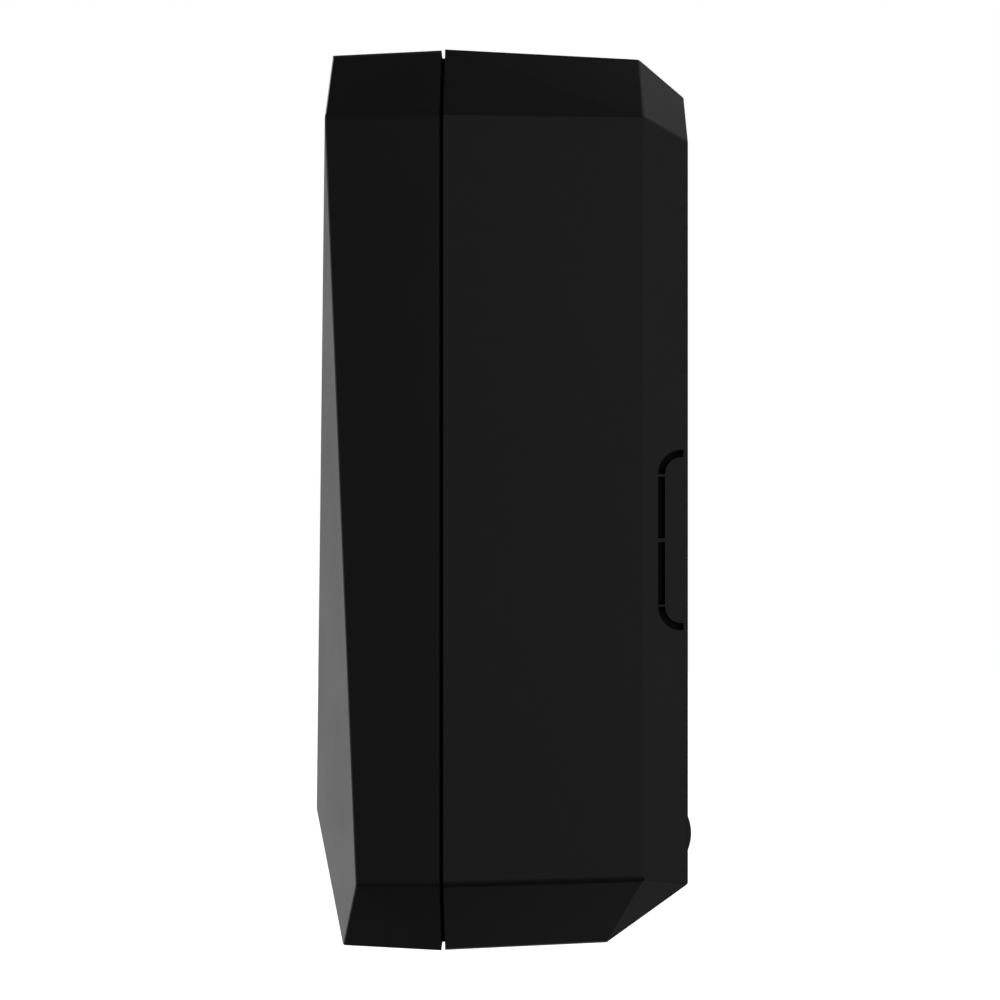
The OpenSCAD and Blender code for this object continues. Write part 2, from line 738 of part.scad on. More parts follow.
// Bottle body inset by i: a block with round edges that draws in to the neck
module bottle_form(i) hull() {
    r = 10 - i;
    for (x = [-1, 1], y = [bottle_front + 10, bottle_back - 10], z = [bottle_low, bottle_top - 10])
        translate([x * (bottle_x - 10), y, z]) sphere(r = r, $fn = soft_fn);
    translate([0, pump_y, neck_z - 0.5 + i]) cylinder(d = neck_d - 2 * i, h = 1, $fn = soft_fn * 2);
}

module refill_bottle() color([0.86, 0.88, 0.90]) difference() {
    union() {
        bottle_form(0);
        bar_z(neck_d, 0, pump_y, neck_end, neck_z);
        // Bead above the thread
        bar_z(neck_d + 3, 0, pump_y, -35, -33);
    }
    bottle_form(bottle_wall);
    bar_z(neck_d - 4, 0, pump_y, neck_end - cut, neck_z + 3);
}

module refill_collar() color(inner_grey) difference() {
    union() {
        bar_z(45, 0, pump_y, collar_z, -36);
        // Grip ribs
        for (k = [0 : 23]) rotate_about_pump(k * 15) bar_z(1.6, 22.3, pump_y, collar_z + 3, -38);
    }
    bar_z(neck_d + 0.2, 0, pump_y, collar_z + 3, -35);
    bar_z(22.1, 0, pump_y, collar_z - cut, collar_z + 4);
}

module rotate_about_pump(angle)
    translate([0, pump_y, 0]) rotate([0, 0, angle]) translate([0, -pump_y, 0]) children();

module neck_gasket() color("dimgray") difference() {
    bar_z(neck_d - 1, 0, pump_y, neck_end - 1, neck_end);
    bar_z(23, 0, pump_y, neck_end - 2, neck_end + 1);
}

module pump_cylinder() color("whitesmoke") difference() {
    union() {
        bar_z(22, 0, pump_y, cylinder_z, -42);
        bar_z(36, 0, pump_y, collar_z + 3, neck_end - 1);
        // Inlet stub
        bar_z(10, 0, pump_y, -42, -36);
    }
    bar_z(pump_bore_d, 0, pump_y, cylinder_z - cut, -45);
    bar_z(5, 0, pump_y, -46, -35);
}

// Coiled wire swept along a helix
module pump_spring() color(steel) {
    wire = 1;
    mean = 6;
    turns = 5;
    steps = 16;
    sides = 8;
    low = flange_z + 3 + wire / 2;
    rise = cylinder_z - wire / 2 - low;
    count = turns * steps;
    points = [for (k = [0 : count], s = [0 : sides - 1])
        let (a = k * 360 / steps, b = s * 360 / sides, r = mean + wire / 2 * cos(b))
        [r * cos(a), pump_y + r * sin(a), low + rise * k / count + wire / 2 * sin(b)]];
    walls = [for (k = [0 : count - 1], s = [0 : sides - 1])
        let (n = (s + 1) % sides)
        each [[k * sides + s, k * sides + n, (k + 1) * sides + n],
            [k * sides + s, (k + 1) * sides + n, (k + 1) * sides + s]]];
    first = [for (s = [sides - 1 : -1 : 0]) s];
    last = [for (s = [0 : sides - 1]) count * sides + s];
    polyhedron(points, concat(walls, [first, last]));
}

module pump_nozzle() color("whitesmoke") difference() {
    union() {
        bar_z(pump_bore_d - 2 * slop, 0, pump_y, piston_z, piston_z + 6);
        bar_z(stem_d, 0, pump_y, flange_z, piston_z);
        bar_z(flange_d, 0, pump_y, flange_z, flange_z + 3);
        bar_z(nozzle_d, 0, pump_y, nozzle_tip_z + 6, flange_z);
        translate([0, pump_y, nozzle_tip_z])
            cylinder(d1 = nozzle_d - 4, d2 = nozzle_d, h = 6, $fn = round_fn);
    }
    bar_z(soap_bore_d, 0, pump_y, nozzle_tip_z - cut, piston_z + 7);
}

// Swinging finger that holds the collar in its fork
module refill_latch() color([0.75, 0.45, 0.12]) difference() {
    hub_z = shelf_z + shelf_t + slop;
    tip = [-11.5, -89];
    side = [0.61, 0.79] * 2.5;
    pivot = [latch_x, latch_y];
    union() {
        translate([0, 0, hub_z]) linear_extrude(4) {
            translate(pivot) circle(d = 9, $fn = round_fn);
            translate(tip) circle(d = 5, $fn = round_fn);
            polygon([pivot + side, tip + side, tip - side, pivot - side]);
        }
        // Thumb tab
        block([-16, -91, hub_z], [-13.5, -85.5, hub_z + 9]);
    }
    bar_z(4 + 2 * slop, latch_x, latch_y, hub_z - cut, hub_z + 5);
}

module latch_screw() color(steel) {
    top = shelf_z + shelf_t + 4.2;
    bar_z(4, latch_x, latch_y, shelf_z, top);
    difference() {
        bar_z(7, latch_x, latch_y, top, top + 1.8);
        block([latch_x - 4, latch_y - 0.4, top + 0.9], [latch_x + 4, latch_y + 0.4, top + 2]);
    }
}

// ---------------------------------------------------------------- electronics

module circuit_board() color(board_green) difference() {
    block([board_x0, board_front, board_z0], [board_x1, board_back, board_z1]);
    for (h = board_holes) bar_y(2, h[0], h[1], board_front - cut, board_back + cut);
}

module board_parts() color([0.08, 0.08, 0.09]) {
    // Controller and motor driver
    block([21, board_front - 1.4, -98], [30, board_front, -89]);
    block([18, board_front - 1.6, -107], [23, board_front, -102]);
    // Reservoir capacitors
    for (z = [-105, -98]) bar_y(6, 35, z, board_front - 8, board_front);
    // Small parts in a row
    for (k = [0 : 4]) block([13 + 3 * k, board_front - 0.8, -86.5], [14.4 + 3 * k, board_front, -84]);
    // Sensor plug
    block([12.5, board_front - 4, -101], [16, board_front, -91]);
}

module board_screws() color(steel)
    for (h = board_holes) translate([h[0], board_front, h[1]]) screw(1.6, 3.6, 1.2, 4.8);

module switch_base() color([0.12, 0.12, 0.13]) difference() {
    block([switch_x - 4.5, board_front - 4, switch_z - 3], [switch_x + 4.5, board_front, switch_z + 3]);
    block([switch_x - 3.1, board_front - 5, switch_z - 1.6],
        [switch_x + 3.1, board_front - 1.8, switch_z + 1.6]);
}

module switch_slider() color("whitesmoke")
    difference() {
        block([switch_x - 3, board_front - 6.4, switch_z - 1.5], [switch_x, board_front - 2, switch_z + 1.5]);
        for (dx = [-2.1, -0.9]) block([switch_x + dx - 0.2, board_front - 7, switch_z - 2],
            [switch_x + dx + 0.2, board_front - 6.1, switch_z + 2]);
    }

module dose_button_base() color([0.12, 0.12, 0.13]) difference() {
    block([dose_x - 3.5, board_front - 4, dose_z - 3.5], [dose_x + 3.5, board_front, dose_z + 3.5]);
    bar_y(4 + 2 * slop, dose_x, dose_z, board_front - 5, board_front - 0.8);
}

module dose_button() color([0.75, 0.45, 0.12]) {
    bar_y(4, dose_x, dose_z, board_front - 6, board_front - 2);
    bar_y(6.6, dose_x, dose_z, board_front - 8, board_front - 5.4);
}

module sensor_board() color(board_green) difference() {
    block([-15, sensor_y - 6, sensor_board_z], [15, sensor_y + 6, sensor_board_z + 1.6]);
    bar_z(1.4, 0, sensor_y, sensor_board_z - cut, sensor_board_z + 2);
}

// Domed lamp body pointing down
module led(x) {
    bar_z(5, x, sensor_y, sensor_board_z - 5, sensor_board_z);
    bar_z(5.8, x, sensor_y, sensor_board_z - 1, sensor_board_z);
    translate([x, sensor_y, sensor_board_z - 5]) sphere(d = 5, $fn = round_fn);
}
module ir_emitter() color([0.75, 0.78, 0.85]) led(led_x);
module ir_receiver() color([0.08, 0.05, 0.10]) led(-led_x);

module sensor_window() color([0.15, 0.03, 0.04]) {
    block([-12.9, sensor_y - 4.9, -half_h + 1.9], [12.9, sensor_y + 4.9, -half_h + 4.4]);
    block([-14.5, sensor_y - 6.5, -half_h + 4.4], [14.5, sensor_y + 6.5, -half_h + 5.6]);
}

// ---------------------------------------------------------------- drawing

back_housing();
wall_bumpers();
front_cover();
level_window();
hinge_pins();
lock_catch();
catch_screws();
lock_barrel();
lock_cam();
battery_box();
battery_1();
battery_2();
battery_3();
battery_4();
battery_contacts();
battery_door();
battery_box_screws();
power_harness();
supply_socket();
drive_chassis();
chassis_screws();
motor();
motor_screws();
motor_shaft();
motor_pinion();
compound_gear();
output_gear();
gear_axles();
gearbox_cover();
gearbox_screws();
guide_rods();
lift_yoke();
refill_bottle();
refill_collar();
neck_gasket();
pump_cylinder();
pump_spring();
pump_nozzle();
refill_latch();
latch_screw();
circuit_board();
board_parts();
board_screws();
switch_base();
switch_slider();
dose_button_base();
dose_button();
sensor_board();
ir_emitter();
ir_receiver();
sensor_window();
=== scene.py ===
import math

import bpy
import bmesh
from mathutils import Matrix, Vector
from mathutils.bvhtree import BVHTree


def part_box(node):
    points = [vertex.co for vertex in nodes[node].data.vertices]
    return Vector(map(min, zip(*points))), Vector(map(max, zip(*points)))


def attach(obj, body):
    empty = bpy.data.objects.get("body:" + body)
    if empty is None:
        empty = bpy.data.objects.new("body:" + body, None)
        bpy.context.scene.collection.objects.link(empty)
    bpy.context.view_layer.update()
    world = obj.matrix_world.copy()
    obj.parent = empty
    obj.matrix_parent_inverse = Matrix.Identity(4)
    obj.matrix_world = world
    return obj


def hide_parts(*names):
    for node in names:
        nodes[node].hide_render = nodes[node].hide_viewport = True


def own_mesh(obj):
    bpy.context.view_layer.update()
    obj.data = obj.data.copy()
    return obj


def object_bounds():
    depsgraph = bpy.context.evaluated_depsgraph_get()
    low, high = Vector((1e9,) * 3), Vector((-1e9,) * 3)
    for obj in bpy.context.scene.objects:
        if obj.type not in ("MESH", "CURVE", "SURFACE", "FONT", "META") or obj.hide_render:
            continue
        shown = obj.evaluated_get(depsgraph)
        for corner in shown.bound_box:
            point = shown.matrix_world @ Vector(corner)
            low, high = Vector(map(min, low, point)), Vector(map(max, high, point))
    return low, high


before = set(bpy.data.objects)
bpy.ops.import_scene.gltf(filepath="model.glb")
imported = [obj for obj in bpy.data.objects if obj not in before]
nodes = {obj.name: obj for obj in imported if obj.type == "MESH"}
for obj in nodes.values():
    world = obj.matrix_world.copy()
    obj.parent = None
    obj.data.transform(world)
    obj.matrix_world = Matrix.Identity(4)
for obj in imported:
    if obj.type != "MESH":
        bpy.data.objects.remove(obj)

MM = 0.001
cad_low, cad_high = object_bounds()
HALF_W = (cad_high[0] - cad_low[0]) / 2
HALF_H = (cad_high[2] - cad_low[2]) / 2
BLADE_Y = cad_low[1]
COVER_RIM_Y = -78.1 * MM
HOUSING_RIM_Y = -76.9 * MM
CORNER = 25 * MM

CAMERA_DISTANCE = 0.732
CAMERA_Y = -0.0593
KEY_PLACE = (-0.9, -1.5, 1.3)
FLOOR_RADIUS = 6
FLOOR_DROP = 0.35


# ---------------------------------------------------------------- new objects and shader nodes

def place(name, data):
    """New object in the scene around a mesh, lamp or camera."""
    thing = bpy.data.objects.new(name, data)
    bpy.context.scene.collection.objects.link(thing)
    return thing


def mesh_of(name, shape):
    """New mesh with a finished bmesh's shape; the bmesh is freed."""
    mesh = bpy.data.meshes.new(name)
    shape.to_mesh(mesh)
    shape.free()
    return mesh


def add_node(tree, kind, inputs=None, **settings):
    """Shader node; each input is a plain value or a socket to link from."""
    node = tree.nodes.new(kind)
    for key, value in settings.items():
        setattr(node, key, value)
    for key, value in (inputs or {}).items():
        if isinstance(value, bpy.types.NodeSocket):
            tree.links.new(value, node.inputs[key])
        else:
            node.inputs[key].default_value = value
    return node


def math_node(tree, operation, a, b=0.0):
    return add_node(tree, "ShaderNodeMath", {0: a, 1: b}, operation=operation).outputs[0]


def map_range(tree, value, low, high, to_low, to_high, smooth=False):
    kind = "SMOOTHSTEP" if smooth else "LINEAR"
    return add_node(tree, "ShaderNodeMapRange", {"Value": value, "From Min": low, "From Max": high,
                    "To Min": to_low, "To Max": to_high}, interpolation_type=kind).outputs["Result"]


def mix_colour(tree, factor, first, second):
    return add_node(tree, "ShaderNodeMix", {0: factor, 6: first, 7: second}, data_type="RGBA").outputs[2]


def add_modifier(piece, kind, **settings):
    modifier = piece.modifiers.new(kind.lower(), kind)
    for key, value in settings.items():
        setattr(modifier, key, value)
    return modifier


# ---------------------------------------------------------------- camera, floor and light

def make_camera():
    """A long lens level with the middle of the side face, looking across the dispenser."""
    data = bpy.data.cameras.new("side_camera")
    data.lens = 85
    data.sensor_width = 36
    data.clip_end = 50
    camera = place("side_camera", data)
    camera.location = (HALF_W + CAMERA_DISTANCE, CAMERA_Y, 0)
    camera.rotation_euler = (math.pi / 2, 0, math.pi / 2)
    bpy.context.scene.camera = camera
    bpy.context.scene.view_settings.view_transform = "Standard"


# Soft panels round the object: where each one is, how wide it opens and how bright it is
PANELS = [
    ((-0.87, -0.49, -0.28), 0.60, 1.00, 0.75),
    ((-0.37, 0.66, 0.65), 0.75, 0.97, 0.32),
    ((0.70, 0.71, 0.0), 0.50, 0.95, 0.29),
    ((0.98, -0.12, 0.0), 0.70, 1.00, 0.06),
    ((0.70, -0.10, 0.70), 0.75, 1.00, 0.08),
    ((-0.30, 0.60, -0.74), 0.70, 0.98, 0.16),
    ((0.25, -0.95, 0.15), 0.72, 1.00, 0.80),
]
ROOM_GLOW = 0.05
BACKDROP = 1.0


def make_room():
    """Pale backdrop for the camera; dim room with soft panels for light and reflections."""
    world = bpy.data.worlds.new("soft_studio")
    bpy.context.scene.world = world
    world.use_nodes = True
    tree = world.node_tree
    tree.nodes.clear()
    direction = add_node(tree, "ShaderNodeTexCoord").outputs["Generated"]
    total = None
    for towards, low, high, strength in PANELS:
        facing = add_node(tree, "ShaderNodeVectorMath", {0: direction, 1: Vector(towards).normalized()},
                          operation="DOT_PRODUCT").outputs["Value"]
        glow = map_range(tree, facing, low, high, 0.0, strength, smooth=True)
        total = math_node(tree, "ADD", total, glow) if total else math_node(tree, "ADD", glow, ROOM_GLOW)
    seen = add_node(tree, "ShaderNodeLightPath").outputs["Is Camera Ray"]
    room = add_node(tree, "ShaderNodeBackground", {"Color": (1, 1, 1, 1), "Strength": total})
    backdrop = add_node(tree, "ShaderNodeBackground", {"Color": (1, 1, 1, 1), "Strength": BACKDROP})
    mix = add_node(tree, "ShaderNodeMixShader", {"Fac": seen, 1: room.outputs[0], 2: backdrop.outputs[0]})
    add_node(tree, "ShaderNodeOutputWorld", {"Surface": mix.outputs[0]})


def make_key_light():
    """Broad soft light above, in front of and to the left of the dispenser."""
    key = bpy.data.lights.new("front_key", "AREA")
    key.shape = "DISK"
    key.size = 1.2
    key.energy = 16
    lamp = place("front_key", key)
    lamp.location = KEY_PLACE
    lamp.rotation_euler = (Vector((0, 0, 0)) - lamp.location).to_track_quat("-Z", "Y").to_euler()


def make_floor():
    """Pale floor that lets a view from beneath through and takes no part in reflections."""
    material = bpy.data.materials.new("pale_floor")
    material.use_nodes = True
    shader = material.node_tree.nodes["Principled BSDF"]
    shader.inputs["Base Color"].default_value = (0.9, 0.9, 0.9, 1)
    shader.inputs["Roughness"].default_value = 0.9
    shader.inputs["Emission Color"].default_value = (1, 1, 1, 1)
    shader.inputs["Emission Strength"].default_value = 0.96
    tree = material.node_tree
    beneath = add_node(tree, "ShaderNodeNewGeometry").outputs["Backfacing"]
    clear = add_node(tree, "ShaderNodeBsdfTransparent")
    sided = add_node(tree, "ShaderNodeMixShader",
                     {"Fac": beneath, 1: shader.outputs[0], 2: clear.outputs[0]})
    tree.links.new(sided.outputs[0], tree.nodes["Material Output"].inputs["Surface"])
    shape = bmesh.new()
    bmesh.ops.create_circle(shape, cap_ends=True, segments=96, radius=FLOOR_RADIUS)
    floor = place("floor", mesh_of("floor", shape))
    floor.location.z = cad_low[2] - FLOOR_DROP
    floor.data.materials.append(material)
    floor.visible_glossy = False
    floor.visible_diffuse = False


# ---------------------------------------------------------------- shared surface effects

def new_group(name, inputs, outputs):
    """Empty shader node group with float inputs (name: default) and float outputs."""
    group = bpy.data.node_groups.new(name, "ShaderNodeTree")
    for label, default in inputs.items():
        socket = group.interface.new_socket(label, in_out="INPUT", socket_type="NodeSocketFloat")
        socket.default_value = default
    for label in outputs:
        group.interface.new_socket(label, in_out="OUTPUT", socket_type="NodeSocketFloat")
    start = group.nodes.new("NodeGroupInput")
    end = group.nodes.new("NodeGroupOutput")
    return group, start.outputs, end.inputs


def object_point(tree):
    return add_node(tree, "ShaderNodeTexCoord").outputs["Object"]


def grain_group():
    """Fine moulded texture: small pits with a little slow unevenness under them."""
    group, given, result = new_group("moulded_grain", {"Size": 3000.0, "Unevenness": 0.3}, ["Height"])
    point = object_point(group)
    fine = add_node(group, "ShaderNodeTexNoise", {"Vector": point, "Scale": given["Size"], "Detail": 2.0,
                    "Roughness": 0.6}).outputs["Fac"]
    cells = add_node(group, "ShaderNodeTexVoronoi",
                     {"Vector": point, "Scale": given["Size"]}).outputs["Distance"]
    slow = add_node(group, "ShaderNodeTexNoise",
                    {"Vector": point, "Scale": 60.0, "Detail": 3.0}).outputs["Fac"]
    pits = math_node(group, "MULTIPLY", fine, cells)
    lifted = math_node(group, "MULTIPLY", slow, given["Unevenness"])
    group.links.new(math_node(group, "ADD", pits, lifted), result["Height"])
    return group


def wear_group():
    """Mask along outer edges, broken up so that it never runs as an even line."""
    group, given, result = new_group("edge_rub", {"Start": 0.51, "End": 0.58}, ["Mask"])
    sharp = add_node(group, "ShaderNodeNewGeometry").outputs["Pointiness"]
    span = map_range(group, sharp, given["Start"], given["End"], 0.0, 1.0)
    patch = add_node(group, "ShaderNodeTexNoise", {"Vector": object_point(group), "Scale": 180.0,
                     "Detail": 4.0}).outputs["Fac"]
    broken = map_range(group, patch, 0.42, 0.62, 0.25, 1.0)
    group.links.new(math_node(group, "MULTIPLY", span, broken), result["Mask"])
    return group


def film_group():
    """Slow cloudiness of a handled surface, for roughness and a faint change of tone."""
    group, given, result = new_group("handled_film", {"Size": 25.0, "Streak": 0.0}, ["Cloud"])
    point = object_point(group)
    cloud = add_node(group, "ShaderNodeTexNoise", {"Vector": point, "Scale": given["Size"], "Detail": 5.0,
                     "Roughness": 0.55}).outputs["Fac"]
    stretched = add_node(group, "ShaderNodeMapping",
                         {"Vector": point, "Scale": (1.0, 1.0, 0.04)}).outputs["Vector"]
    flow = add_node(group, "ShaderNodeTexNoise",
                    {"Vector": stretched, "Scale": 300.0, "Detail": 2.0}).outputs["Fac"]
    lines = math_node(group, "MULTIPLY", math_node(group, "SUBTRACT", flow, 0.5), given["Streak"])
    group.links.new(math_node(group, "ADD", cloud, lines), result["Cloud"])
    return group


GRAIN = grain_group()
RUB = wear_group()
FILM = film_group()


BUMP_DISTANCE = 0.00005


def rgba(colour):
    return (*colour, 1.0)


def finish(name, colour, rub_colour=None, roughness=(0.35, 0.5), grain=3000.0, depth=0.02, cloud=25.0,
           streak=0.0, tint=0.12, rub=0.5, **fixed):
    """Moulded, cast or plated surface. fixed holds plain values for the shader's own sockets."""
    material = bpy.data.materials.new(name)
    material.use_nodes = True
    tree = material.node_tree
    shader = tree.nodes["Principled BSDF"]
    for label, value in fixed.items():
        shader.inputs[label.replace("_", " ")].default_value = value
    grained = add_node(tree, "ShaderNodeGroup", {"Size": grain}, node_tree=GRAIN)
    film = add_node(tree, "ShaderNodeGroup", {"Size": cloud, "Streak": streak}, node_tree=FILM)
    rubbed = add_node(tree, "ShaderNodeGroup", node_tree=RUB)
    darker = tuple(c * (1 - tint) for c in colour)
    lighter = tuple(min(1.0, c * (1 + tint)) for c in colour)
    toned = mix_colour(tree, film.outputs["Cloud"], rgba(darker), rgba(lighter))
    worn = rub_colour or tuple(min(1.0, c * 1.6 + 0.01) for c in colour)
    masked = math_node(tree, "MULTIPLY", rubbed.outputs["Mask"], rub)
    tree.links.new(mix_colour(tree, masked, toned, rgba(worn)), shader.inputs["Base Color"])
    soft = map_range(tree, film.outputs["Cloud"], 0.3, 0.7, roughness[0], roughness[1])
    tree.links.new(soft, shader.inputs["Roughness"])
    bump = add_node(tree, "ShaderNodeBump", {"Strength": depth, "Distance": BUMP_DISTANCE,
                    "Height": grained.outputs["Height"]})
    tree.links.new(bump.outputs["Normal"], shader.inputs["Normal"])
    return material


# ---------------------------------------------------------------- finishes

SHELL_SATIN = finish("shell_satin", (0.0045, 0.0045, 0.0047), roughness=(0.30, 0.34), grain=2500, depth=0.02,
                     tint=0.05, rub=0.15, cloud=18)
SHELL_GRAINED = finish("shell_grained", (0.0060, 0.0060, 0.0062), roughness=(0.36, 0.42), grain=3200,
                       depth=0.35, tint=0.08, rub=0.15, cloud=22)
# Painted shade: a near-black matte finish for the faces of the seam groove and the knock-out slots, standing
# in for the shade deep inside them
SHELL_PAINTED_SHADE = finish("shell_recess_painted_shade", (0.0010, 0.0010, 0.0011), roughness=(0.7, 0.85), grain=3200, depth=0.2,
                      tint=0.05, rub=0.0, Specular_IOR_Level=0.3)
BUMPER = finish("bumper_rubber", (0.012, 0.012, 0.012), roughness=(0.65, 0.8), grain=4000, depth=0.3)
SMOKED = finish("smoked_window", (0.010, 0.010, 0.012), roughness=(0.08, 0.14), depth=0.02, rub=0.0,
                Coat_Weight=0.4)
INFRARED = finish("infrared_window", (0.020, 0.002, 0.003), roughness=(0.07, 0.12), depth=0.02, rub=0.0,
                  Coat_Weight=0.5)
PLATED = finish("plated_steel", (0.56, 0.57, 0.58), (0.75, 0.76, 0.78), roughness=(0.22, 0.36), grain=1800,
                depth=0.15, tint=0.06, streak=0.5, Metallic=1.0)
CAM_BRASS = finish("cam_brass", (0.72, 0.52, 0.22), (0.86, 0.70, 0.38), roughness=(0.25, 0.42), grain=1500,
                   depth=0.2, tint=0.1, Metallic=1.0)
INNER_GREY = finish("inner_grey", (0.100, 0.103, 0.108), roughness=(0.42, 0.56), grain=2600, depth=0.35)
WIRE_BLACK = finish("wire_black", (0.015, 0.015, 0.016), roughness=(0.4, 0.5), grain=1500, depth=0.1)
WIRE_RED = finish("wire_red", (0.35, 0.015, 0.012), roughness=(0.4, 0.5), grain=1500, depth=0.1)
PART_BLACK = finish("part_black", (0.014, 0.014, 0.015), roughness=(0.35, 0.5), grain=3600, depth=0.3)
MOTOR_CAN = finish("motor_can", (0.48, 0.49, 0.51), (0.7, 0.71, 0.73), roughness=(0.28, 0.40), grain=900,
                   depth=0.1, streak=0.9, Metallic=1.0)
GEAR_RESIN = finish("gear_resin", (0.74, 0.72, 0.66), roughness=(0.38, 0.5), grain=2200, depth=0.15,
                    tint=0.04, rub=0.3, Subsurface_Weight=0.1, Subsurface_Scale=0.002)
COLLAR = finish("collar_plastic", (0.030, 0.031, 0.033), roughness=(0.38, 0.5), grain=2600, depth=0.3)
PUMP_WHITE = finish("pump_white", (0.76, 0.76, 0.75), roughness=(0.2, 0.32), grain=2400, depth=0.08,
                    tint=0.03, rub=0.1, Subsurface_Weight=0.1, Subsurface_Scale=0.002)
TOUCH_ORANGE = finish("touch_orange", (0.62, 0.16, 0.02), roughness=(0.35, 0.48), grain=2600, depth=0.25)
CLEAR_LAMP = finish("clear_lamp", (0.62, 0.66, 0.76), roughness=(0.08, 0.14), depth=0.02, rub=0.0,
                    Transmission_Weight=0.6, IOR=1.5)


SOAP_LEVEL = 0.72
HALF_WATERLINE = 0.0006
# Where a battery's copper band and its metal ends begin, each over a short blend
BAND_EDGE = (11.9 * MM, 12.1 * MM)
END_EDGE = (24.4 * MM, 24.6 * MM)


def finish_parts(material):
    """Node tree, shader and colour so far of a finish that is to be extended."""
    tree = material.node_tree
    shader = tree.nodes["Principled BSDF"]
    return tree, shader, shader.inputs["Base Color"].links[0].from_socket


def bottle_finish():
    """Milky blown bottle, pearly where the soap still stands inside it."""
    material = finish("bottle_resin", (0.74, 0.78, 0.80), roughness=(0.3, 0.42), grain=900, depth=0.12,
                      tint=0.03, rub=0.0, Subsurface_Weight=0.35, Subsurface_Scale=0.004)
    tree, shader, plain = finish_parts(material)
    height = add_node(tree, "ShaderNodeSeparateXYZ", {0: object_point(tree)}).outputs["Z"]
    low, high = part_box("refill_bottle")
    level = low.z + SOAP_LEVEL * (high.z - low.z)
    filled = map_range(tree, height, level - HALF_WATERLINE, level + HALF_WATERLINE, 1.0, 0.0)
    tree.links.new(mix_colour(tree, math_node(tree, "MULTIPLY", filled, 0.55), plain, (0.55, 0.70, 0.74, 1)),
                   shader.inputs["Base Color"])
    return material


def sleeve_finish(name, raised_end):
    """Printed battery sleeve: dark body, coppery band at the raised end, bare metal ends."""
    material = finish(name, (0.02, 0.02, 0.022), roughness=(0.18, 0.3), grain=1200, depth=0.05, rub=0.2)
    tree, shader, plain = finish_parts(material)
    along = add_node(tree, "ShaderNodeSeparateXYZ", {0: object_point(tree)}).outputs["X"]
    signed = math_node(tree, "MULTIPLY", along, raised_end)
    band = map_range(tree, signed, *BAND_EDGE, 0.0, 1.0)
    ends = map_range(tree, math_node(tree, "ABSOLUTE", along), *END_EDGE, 0.0, 1.0)
    copper = mix_colour(tree, band, plain, (0.62, 0.30, 0.10, 1))
    tree.links.new(mix_colour(tree, ends, copper, (0.6, 0.61, 0.62, 1)), shader.inputs["Base Color"])
    tree.links.new(math_node(tree, "MAXIMUM", band, ends), shader.inputs["Metallic"])
    return material


def board_finish():
    """Green solder mask over a faint net of copper tracks."""
    material = finish("circuit_green", (0.012, 0.075, 0.030), roughness=(0.22, 0.34), grain=1800, depth=0.08)
    tree, shader, plain = finish_parts(material)
    upright = add_node(tree, "ShaderNodeMapping",
                       {"Vector": object_point(tree), "Rotation": (math.pi / 2, 0, 0)}).outputs["Vector"]
    tracks = add_node(tree, "ShaderNodeTexBrick", {"Vector": upright, "Scale": 180.0, "Mortar Size": 0.05,
                      "Brick Width": 1.7, "Row Height": 0.4}).outputs["Fac"]
    tree.links.new(mix_colour(tree, math_node(tree, "MULTIPLY", tracks, 0.5), plain, (0.03, 0.16, 0.06, 1)),
                   shader.inputs["Base Color"])
    return material


BOTTLE = bottle_finish()
BOARD = board_finish()
SLEEVE_RIGHT = sleeve_finish("sleeve_right", 1.0)
SLEEVE_LEFT = sleeve_finish("sleeve_left", -1.0)

CAD_FINISHES = {
    "wall_bumpers": BUMPER, "neck_gasket": BUMPER, "level_window": SMOKED, "sensor_window": INFRARED,
    "hinge_pins": PLATED, "catch_screws": PLATED, "lock_barrel": PLATED, "lock_cam": CAM_BRASS,
    "lock_catch": INNER_GREY, "battery_box": INNER_GREY, "battery_door": INNER_GREY,
    "battery_1": SLEEVE_RIGHT, "battery_2": SLEEVE_LEFT, "battery_3": SLEEVE_LEFT, "battery_4": SLEEVE_RIGHT,
    "battery_contacts": PLATED, "battery_box_screws": PLATED, "supply_socket": PART_BLACK,
    "drive_chassis": INNER_GREY, "chassis_screws": PLATED, "motor": MOTOR_CAN, "motor_screws": PLATED,
    "motor_shaft": PLATED, "motor_pinion": CAM_BRASS, "compound_gear": GEAR_RESIN, "output_gear": GEAR_RESIN,
    "gear_axles": PLATED, "gearbox_cover": INNER_GREY, "gearbox_screws": PLATED, "guide_rods": PLATED,
    "lift_yoke": GEAR_RESIN, "refill_collar": COLLAR, "pump_cylinder": PUMP_WHITE, "pump_nozzle": PUMP_WHITE,
    "refill_latch": TOUCH_ORANGE, "latch_screw": PLATED, "circuit_board": BOARD, "board_parts": PART_BLACK,
    "board_screws": PLATED, "switch_base": PART_BLACK, "switch_slider": PUMP_WHITE,
    "dose_button_base": PART_BLACK, "dose_button": TOUCH_ORANGE, "sensor_board": BOARD,
    "ir_emitter": CLEAR_LAMP, "ir_receiver": PART_BLACK,
}


WELD_DISTANCE = 0.000002
EDGE_LEAST, EDGE_MOST, EDGE_SHARE = 0.05 * MM, 0.3 * MM, 0.08
# Nodes that turn on each other with so little play that their meshes stay as they come
CLOSE_FITS = ("battery_box", "battery_door")


def dress_cad_nodes():
    """Give each carried-over node its finish and a small rounded edge."""
    for name, material in CAD_FINISHES.items():
        node = nodes[name]
        node.data.materials.clear()
        node.data.materials.append(material)
        low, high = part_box(name)
        smallest = min(high - low)
        edge = max(EDGE_LEAST, min(EDGE_MOST, smallest * EDGE_SHARE))
        add_modifier(node, "WELD", merge_threshold=WELD_DISTANCE)
        if name not in CLOSE_FITS:
            add_modifier(node, "DECIMATE", decimate_type="DISSOLVE", angle_limit=math.radians(1))
        add_modifier(node, "BEVEL", width=edge, segments=2, limit_method="ANGLE",
                     angle_limit=math.radians(40), use_clamp_overlap=True, harden_normals=False)
        add_modifier(node, "WEIGHTED_NORMAL", keep_sharp=True, weight=80)


# ---------------------------------------------------------------- shells

def mirrored(corners):
    """The named corners of the right half, and the same names for their left copies."""
    return [(name, Vector((side * x, y, z))) for name, (x, y, z) in corners.items() for side in (1, -1)]


